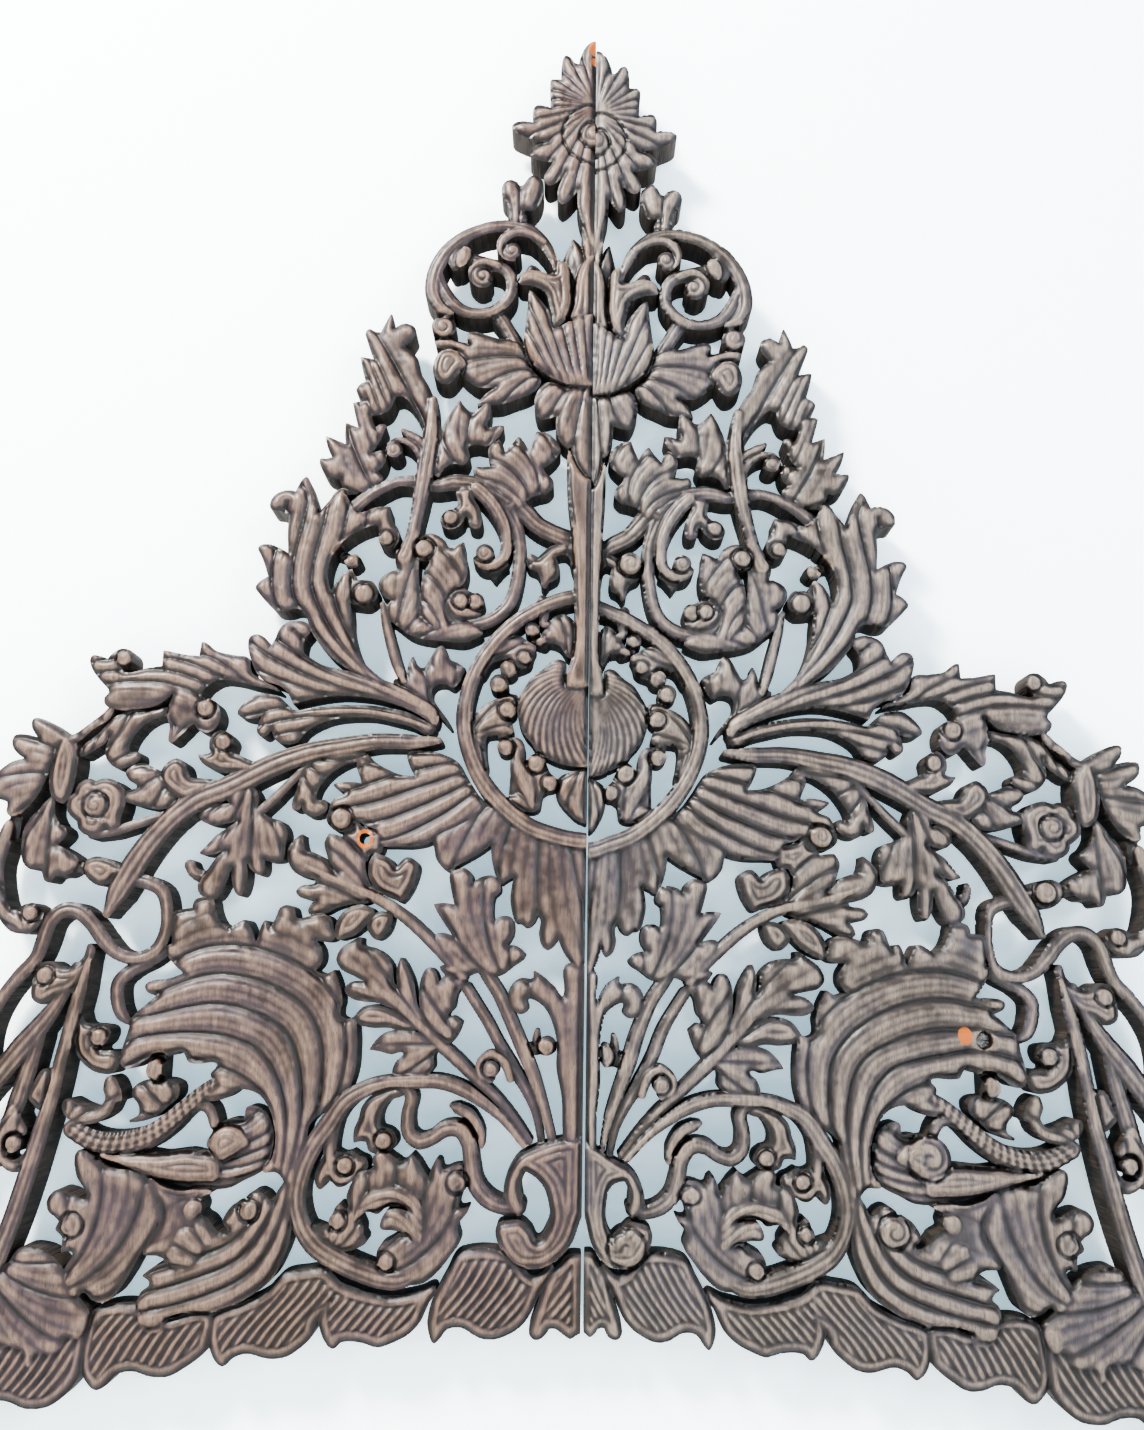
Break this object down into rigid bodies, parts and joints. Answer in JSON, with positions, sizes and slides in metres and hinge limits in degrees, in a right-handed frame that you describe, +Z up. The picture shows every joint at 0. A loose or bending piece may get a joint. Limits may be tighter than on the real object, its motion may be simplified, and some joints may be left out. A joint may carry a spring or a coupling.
{
  "type": "carved headboard panel",
  "caption": "Pierced, carved wooden headboard panel in two abutting boards with scrollwork, leaves, lotus and finial, held flat on a wall by a screw.",
  "frame": {"origin": "on the left board's flat back, behind the bowl under the finial, 12 mm left of the seam", "axes": "+X to the right as one faces the carved front, +Y out of the flat back towards the wall, +Z up"},
  "size_m": [0.963, 0.03, 1.0982],
  "materials": {
    "brown_wood": "weathered brown hardwood, worn and unpolished, dark in the recesses",
    "grey_wood": "weathered grey-brown hardwood with a mauve cast, worn and unpolished",
    "dull_steel": "dark, tarnished steel"
  },
  "bodies": {
    "root": {"left_carved_half": "brown_wood", "right_carved_half": "grey_wood", "right_fixing_screw": "dull_steel"}
  },
  "joints": []
}
